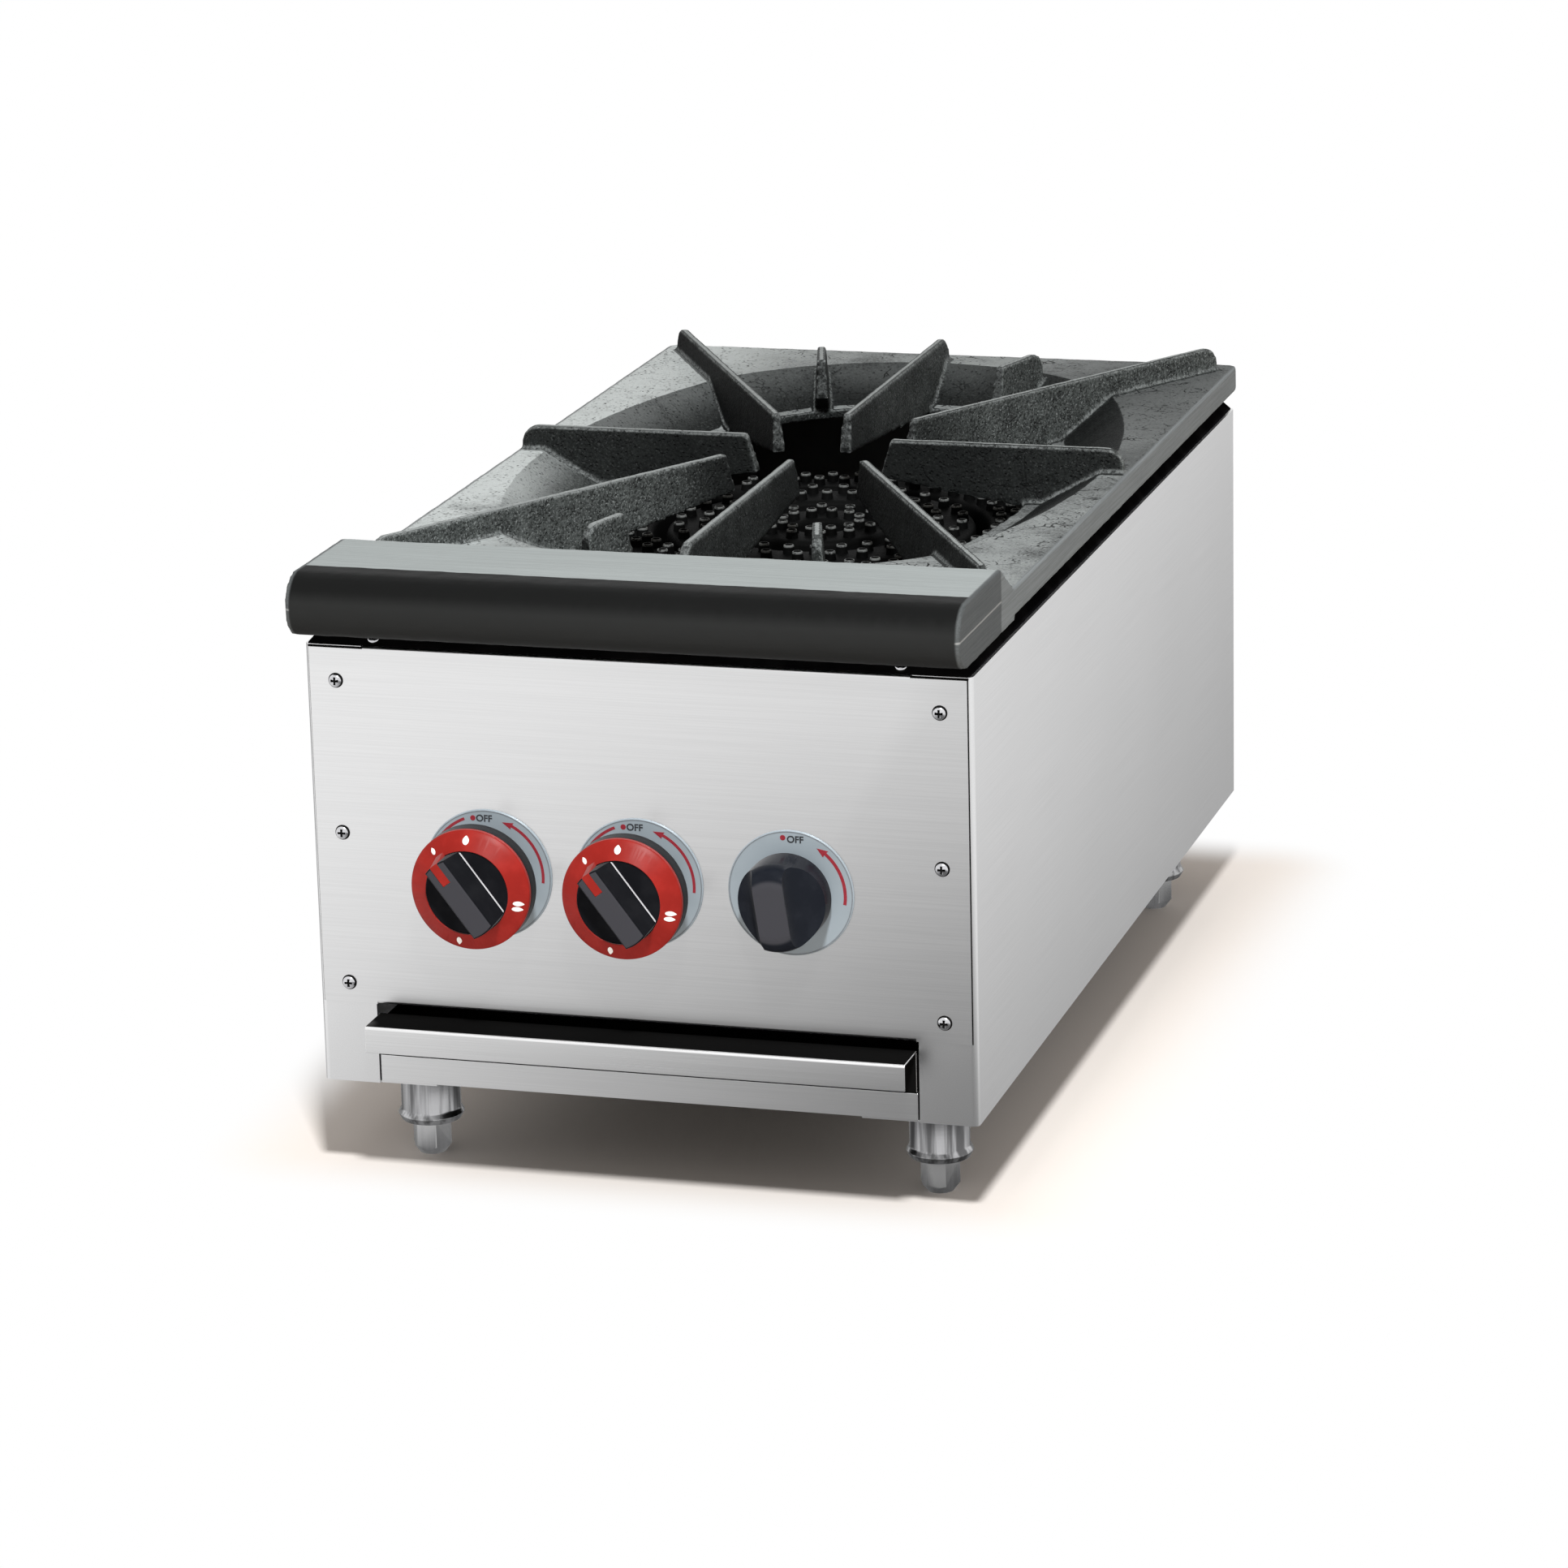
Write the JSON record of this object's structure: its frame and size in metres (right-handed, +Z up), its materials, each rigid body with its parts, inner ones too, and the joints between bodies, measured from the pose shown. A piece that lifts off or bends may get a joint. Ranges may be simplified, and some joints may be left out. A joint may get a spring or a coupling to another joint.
{
  "type": "single burner gas range",
  "caption": "Low countertop gas range: folded stainless cabinet on levelling legs, star-shaped cast-iron grate, ringed nipple burner, valve knobs and a pull-out drip tray.",
  "frame": {"origin": "on the floor, under the middle of the overall box", "axes": "+Z up, -Y towards the user at the knobs, +X to the user's right"},
  "size_m": [0.4, 0.777, 0.378],
  "materials": {
    "stainless_steel": "fine brushed, satin",
    "galvanised_steel": "mill finish sheet",
    "screw_steel": "plated, bright",
    "dial_steel": "satin with printed marks",
    "frame_enamel": "black, satin",
    "grate_iron": "sand cast, matt",
    "burner_iron": "sand cast, matt",
    "valve_brass": "machined",
    "black_pipe": "black pipe",
    "pilot_aluminium": "drawn tube",
    "knob_black": "moulded, satin",
    "knob_red": "moulded, semi-gloss",
    "leg_steel": "satin",
    "foot_steel": "plated"
  },
  "bodies": {
    "cabinet": {"back_panel": "galvanised_steel", "back_panel_screws": "screw_steel", "front_base_rail": "stainless_steel", "front_burner_bar": "galvanised_steel", "front_left_leg": "leg_steel", "front_panel": "stainless_steel", "front_panel_screws": "screw_steel", "front_right_leg": "leg_steel", "gas_manifold": "black_pipe", "inlet_fitting": "valve_brass", "inner_burner_head": "burner_iron", "inner_dial": "dial_steel", "inner_gas_valve": "valve_brass", "inner_injector": "valve_brass", "inner_mixer_tube": "burner_iron", "left_burner_strap": "galvanised_steel", "left_side_panel": "stainless_steel", "left_tray_runner": "galvanised_steel", "outer_burner_ring": "burner_iron", "outer_dial": "dial_steel", "outer_gas_valve": "valve_brass", "outer_injector": "valve_brass", "outer_mixer_tube": "burner_iron", "pilot_burner": "valve_brass", "pilot_dial": "dial_steel", "pilot_gas_valve": "valve_brass", "pilot_tube": "pilot_aluminium", "rear_base_rail": "galvanised_steel", "rear_burner_bar": "galvanised_steel", "rear_left_leg": "leg_steel", "rear_right_leg": "leg_steel", "right_burner_strap": "galvanised_steel", "right_side_panel": "stainless_steel", "right_tray_runner": "galvanised_steel", "supply_pipe": "black_pipe", "top_frame": "frame_enamel"},
    "grate": {"star_grate": "grate_iron"},
    "tray": {"drip_tray": "stainless_steel", "tray_pull": "stainless_steel"},
    "outer_plunger": {"outer_stem_collar": "screw_steel"},
    "outer_knob": {"outer_knob_grip": "knob_black", "outer_knob_stem": "screw_steel", "outer_knob_ring": "knob_red"},
    "inner_plunger": {"inner_stem_collar": "screw_steel"},
    "inner_knob": {"inner_knob_grip": "knob_black", "inner_knob_stem": "screw_steel", "inner_knob_ring": "knob_red"},
    "pilot_plunger": {"pilot_stem_collar": "screw_steel"},
    "pilot_knob": {"pilot_knob_grip": "knob_black", "pilot_knob_stem": "screw_steel"},
    "front_left_foot": {"front_left_foot": "foot_steel"},
    "front_right_foot": {"front_right_foot": "foot_steel"},
    "rear_left_foot": {"rear_left_foot": "foot_steel"},
    "rear_right_foot": {"rear_right_foot": "foot_steel"},
    "outer_shutter": {"outer_air_shutter": "galvanised_steel"},
    "inner_shutter": {"inner_air_shutter": "galvanised_steel"}
  },
  "joints": [
    {"name": "grate_lift", "type": "slide", "parent": "cabinet", "child": "grate", "axis": [0, 0, 1], "range_m": [0, 0.12]},
    {"name": "tray_slide", "type": "slide", "parent": "cabinet", "child": "tray", "axis": [0, -1, 0], "range_m": [0, 0.4]},
    {"name": "outer_push", "type": "slide", "parent": "cabinet", "child": "outer_plunger", "axis": [0, 1, 0], "range_m": [0, 0.004], "stiffness_N_per_m": 900, "springref_m": -0.004},
    {"name": "outer_turn", "type": "hinge", "parent": "outer_plunger", "child": "outer_knob", "pos_m": [-0.0915, -0.3345, 0.1995], "axis": [0, -1, 0], "range_deg": [-38, 190]},
    {"name": "inner_push", "type": "slide", "parent": "cabinet", "child": "inner_plunger", "axis": [0, 1, 0], "range_m": [0, 0.004], "stiffness_N_per_m": 900, "springref_m": -0.004},
    {"name": "inner_turn", "type": "hinge", "parent": "inner_plunger", "child": "inner_knob", "pos_m": [0, -0.3345, 0.1995], "axis": [0, -1, 0], "range_deg": [-38, 190]},
    {"name": "pilot_push", "type": "slide", "parent": "cabinet", "child": "pilot_plunger", "axis": [0, 1, 0], "range_m": [0, 0.004], "stiffness_N_per_m": 900, "springref_m": -0.004},
    {"name": "pilot_turn", "type": "hinge", "parent": "pilot_plunger", "child": "pilot_knob", "pos_m": [0.0915, -0.3345, 0.1995], "axis": [0, -1, 0], "range_deg": [0, 90]},
    {"name": "front_left_level", "type": "slide", "parent": "cabinet", "child": "front_left_foot", "axis": [0, 0, -1], "range_m": [0, 0.02]},
    {"name": "front_right_level", "type": "slide", "parent": "cabinet", "child": "front_right_foot", "axis": [0, 0, -1], "range_m": [0, 0.02]},
    {"name": "rear_left_level", "type": "slide", "parent": "cabinet", "child": "rear_left_foot", "axis": [0, 0, -1], "range_m": [0, 0.02]},
    {"name": "rear_right_level", "type": "slide", "parent": "cabinet", "child": "rear_right_foot", "axis": [0, 0, -1], "range_m": [0, 0.02]},
    {"name": "outer_air", "type": "hinge", "parent": "cabinet", "child": "outer_shutter", "pos_m": [-0.0915, -0.2255, 0.1995], "axis": [0, 1, 0], "range_deg": [0, 60]},
    {"name": "inner_air", "type": "hinge", "parent": "cabinet", "child": "inner_shutter", "pos_m": [0, -0.2255, 0.1995], "axis": [0, 1, 0], "range_deg": [0, 60]}
  ]
}
